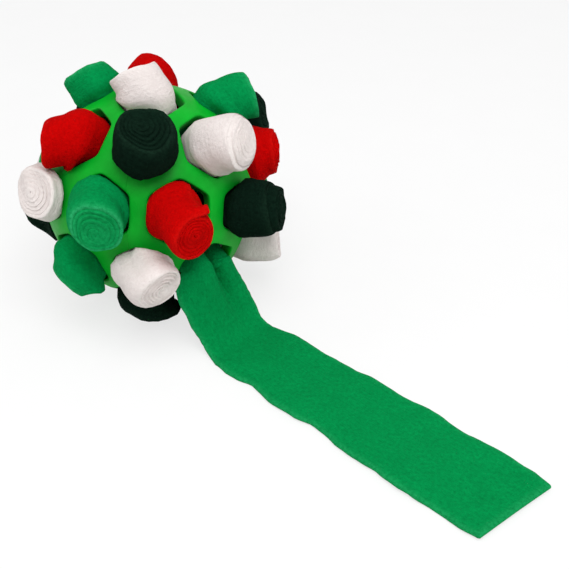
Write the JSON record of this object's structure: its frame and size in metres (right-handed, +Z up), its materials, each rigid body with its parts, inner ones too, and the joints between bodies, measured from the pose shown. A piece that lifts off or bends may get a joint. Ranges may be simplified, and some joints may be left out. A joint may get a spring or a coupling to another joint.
{
  "type": "plush snuffle toy",
  "caption": "Round rubber lattice ball with rolled fleece strips pressed into its holes and a strip pulled out along the floor; hides dry treats.",
  "frame": {"origin": "point on the floor right under the middle of the ball", "axes": "+Z up from the floor through the ball, -Y towards the picture's viewer; the pulled-out strip runs along the floor towards +X and -Y"},
  "size_m": [0.2571, 0.2532, 0.1351],
  "materials": {
    "rubber_green": "satin moulded rubber",
    "fleece_green": "brushed fleece",
    "fleece_dark_green": "brushed fleece",
    "fleece_red": "brushed fleece",
    "fleece_white": "brushed fleece"
  },
  "bodies": {
    "ball": {"ball_lattice": "rubber_green", "strip_neck": "fleece_green"},
    "roll_crown": {"roll_crown": "fleece_white"},
    "roll_upper_1": {"roll_upper_1": "fleece_dark_green"},
    "roll_upper_2": {"roll_upper_2": "fleece_white"},
    "roll_upper_3": {"roll_upper_3": "fleece_green"},
    "roll_upper_4": {"roll_upper_4": "fleece_red"},
    "roll_upper_5": {"roll_upper_5": "fleece_green"},
    "roll_upper_6": {"roll_upper_6": "fleece_red"},
    "roll_shoulder_1": {"roll_shoulder_1": "fleece_red"},
    "roll_shoulder_2": {"roll_shoulder_2": "fleece_dark_green"},
    "roll_shoulder_3": {"roll_shoulder_3": "fleece_red"},
    "roll_shoulder_4": {"roll_shoulder_4": "fleece_dark_green"},
    "roll_shoulder_5": {"roll_shoulder_5": "fleece_white"},
    "roll_shoulder_6": {"roll_shoulder_6": "fleece_dark_green"},
    "roll_shoulder_7": {"roll_shoulder_7": "fleece_green"},
    "roll_shoulder_8": {"roll_shoulder_8": "fleece_white"},
    "roll_shoulder_9": {"roll_shoulder_9": "fleece_green"},
    "roll_belly_1": {"roll_belly_1": "fleece_white"},
    "roll_belly_3": {"roll_belly_3": "fleece_white"},
    "roll_belly_4": {"roll_belly_4": "fleece_green"},
    "roll_belly_5": {"roll_belly_5": "fleece_red"},
    "roll_belly_6": {"roll_belly_6": "fleece_green"},
    "roll_belly_7": {"roll_belly_7": "fleece_white"},
    "roll_belly_8": {"roll_belly_8": "fleece_dark_green"},
    "roll_belly_9": {"roll_belly_9": "fleece_green"},
    "roll_lower_1": {"roll_lower_1": "fleece_dark_green"},
    "roll_lower_2": {"roll_lower_2": "fleece_red"},
    "roll_lower_3": {"roll_lower_3": "fleece_dark_green"},
    "roll_lower_4": {"roll_lower_4": "fleece_white"},
    "roll_lower_5": {"roll_lower_5": "fleece_red"},
    "roll_lower_6": {"roll_lower_6": "fleece_white"},
    "roll_foot": {"roll_foot": "fleece_green"},
    "strip_flap": {"strip_flap": "fleece_green"},
    "strip_free_end": {"strip_free_end": "fleece_green"}
  },
  "joints": [
    {"name": "strip_lift", "type": "hinge", "parent": "ball", "child": "strip_flap", "pos_m": [0.04941, -0.05536, 0.0023], "axis": [-0.6947, -0.7193, 0], "range_deg": [0, 35]},
    {"name": "strip_fold", "type": "hinge", "parent": "strip_flap", "child": "strip_free_end", "pos_m": [0.10768, -0.11163, 0.0023], "axis": [-0.6947, -0.7193, 0], "range_deg": [0, 100]},
    {"name": "crown_pull", "type": "slide", "parent": "ball", "child": "roll_crown", "axis": [0.0648, -0.0583, 0.9962], "range_m": [0, 0.031]},
    {"name": "upper_1_pull", "type": "slide", "parent": "ball", "child": "roll_upper_1", "axis": [0.0397, -0.6523, 0.7569], "range_m": [0, 0.027]},
    {"name": "upper_2_pull", "type": "slide", "parent": "ball", "child": "roll_upper_2", "axis": [0.6179, -0.3852, 0.6855], "range_m": [0, 0.027]},
    {"name": "upper_3_pull", "type": "slide", "parent": "ball", "child": "roll_upper_3", "axis": [0.5819, 0.2485, 0.7744], "range_m": [0, 0.029]},
    {"name": "upper_4_pull", "type": "slide", "parent": "ball", "child": "roll_upper_4", "axis": [0.0611, 0.622, 0.7806], "range_m": [0, 0.032]},
    {"name": "upper_5_pull", "type": "slide", "parent": "ball", "child": "roll_upper_5", "axis": [-0.4672, 0.2648, 0.8436], "range_m": [0, 0.029]},
    {"name": "upper_6_pull", "type": "slide", "parent": "ball", "child": "roll_upper_6", "axis": [-0.5342, -0.3672, 0.7614], "range_m": [0, 0.027]},
    {"name": "shoulder_1_pull", "type": "slide", "parent": "ball", "child": "roll_shoulder_1", "axis": [0.3607, -0.8961, 0.2587], "range_m": [0, 0.024]},
    {"name": "shoulder_2_pull", "type": "slide", "parent": "ball", "child": "roll_shoulder_2", "axis": [0.8514, -0.5144, 0.1028], "range_m": [0, 0.024]},
    {"name": "shoulder_3_pull", "type": "slide", "parent": "ball", "child": "roll_shoulder_3", "axis": [0.9561, 0.0931, 0.2779], "range_m": [0, 0.03]},
    {"name": "shoulder_4_pull", "type": "slide", "parent": "ball", "child": "roll_shoulder_4", "axis": [0.612, 0.7156, 0.3367], "range_m": [0, 0.015]},
    {"name": "shoulder_5_pull", "type": "slide", "parent": "ball", "child": "roll_shoulder_5", "axis": [0.0311, 0.9695, 0.243], "range_m": [0, 0.028]},
    {"name": "shoulder_6_pull", "type": "slide", "parent": "ball", "child": "roll_shoulder_6", "axis": [-0.5401, 0.7335, 0.4127], "range_m": [0, 0.027]},
    {"name": "shoulder_7_pull", "type": "slide", "parent": "ball", "child": "roll_shoulder_7", "axis": [-0.908, 0.1222, 0.4008], "range_m": [0, 0.041]},
    {"name": "shoulder_8_pull", "type": "slide", "parent": "ball", "child": "roll_shoulder_8", "axis": [-0.846, -0.488, 0.2147], "range_m": [0, 0.032]},
    {"name": "shoulder_9_pull", "type": "slide", "parent": "ball", "child": "roll_shoulder_9", "axis": [-0.3513, -0.885, 0.3056], "range_m": [0, 0.022]},
    {"name": "belly_1_pull", "type": "slide", "parent": "ball", "child": "roll_belly_1", "axis": [-0.0311, -0.9695, -0.243], "range_m": [0, 0.024]},
    {"name": "belly_3_pull", "type": "slide", "parent": "ball", "child": "roll_belly_3", "axis": [0.908, -0.1222, -0.4008], "range_m": [0, 0.027]},
    {"name": "belly_4_pull", "type": "slide", "parent": "ball", "child": "roll_belly_4", "axis": [0.846, 0.488, -0.2147], "range_m": [0, 0.03]},
    {"name": "belly_5_pull", "type": "slide", "parent": "ball", "child": "roll_belly_5", "axis": [0.3513, 0.885, -0.3056], "range_m": [0, 0.028]},
    {"name": "belly_6_pull", "type": "slide", "parent": "ball", "child": "roll_belly_6", "axis": [-0.3607, 0.8961, -0.2587], "range_m": [0, 0.027]},
    {"name": "belly_7_pull", "type": "slide", "parent": "ball", "child": "roll_belly_7", "axis": [-0.8514, 0.5144, -0.1028], "range_m": [0, 0.027]},
    {"name": "belly_8_pull", "type": "slide", "parent": "ball", "child": "roll_belly_8", "axis": [-0.9561, -0.0931, -0.2779], "range_m": [0, 0.029]},
    {"name": "belly_9_pull", "type": "slide", "parent": "ball", "child": "roll_belly_9", "axis": [-0.612, -0.7156, -0.3367], "range_m": [0, 0.03]},
    {"name": "lower_1_pull", "type": "slide", "parent": "ball", "child": "roll_lower_1", "axis": [-0.0611, -0.622, -0.7806], "range_m": [0, 0.031]},
    {"name": "lower_2_pull", "type": "slide", "parent": "ball", "child": "roll_lower_2", "axis": [0.4672, -0.2648, -0.8436], "range_m": [0, 0.035]},
    {"name": "lower_3_pull", "type": "slide", "parent": "ball", "child": "roll_lower_3", "axis": [0.5342, 0.3672, -0.7614], "range_m": [0, 0.03]},
    {"name": "lower_4_pull", "type": "slide", "parent": "ball", "child": "roll_lower_4", "axis": [-0.0397, 0.6523, -0.7569], "range_m": [0, 0.029]},
    {"name": "lower_5_pull", "type": "slide", "parent": "ball", "child": "roll_lower_5", "axis": [-0.6179, 0.3852, -0.6855], "range_m": [0, 0.023]},
    {"name": "lower_6_pull", "type": "slide", "parent": "ball", "child": "roll_lower_6", "axis": [-0.5819, -0.2485, -0.7744], "range_m": [0, 0.037]},
    {"name": "foot_pull", "type": "slide", "parent": "ball", "child": "roll_foot", "axis": [-0.0648, 0.0583, -0.9962], "range_m": [0, 0.039]}
  ]
}
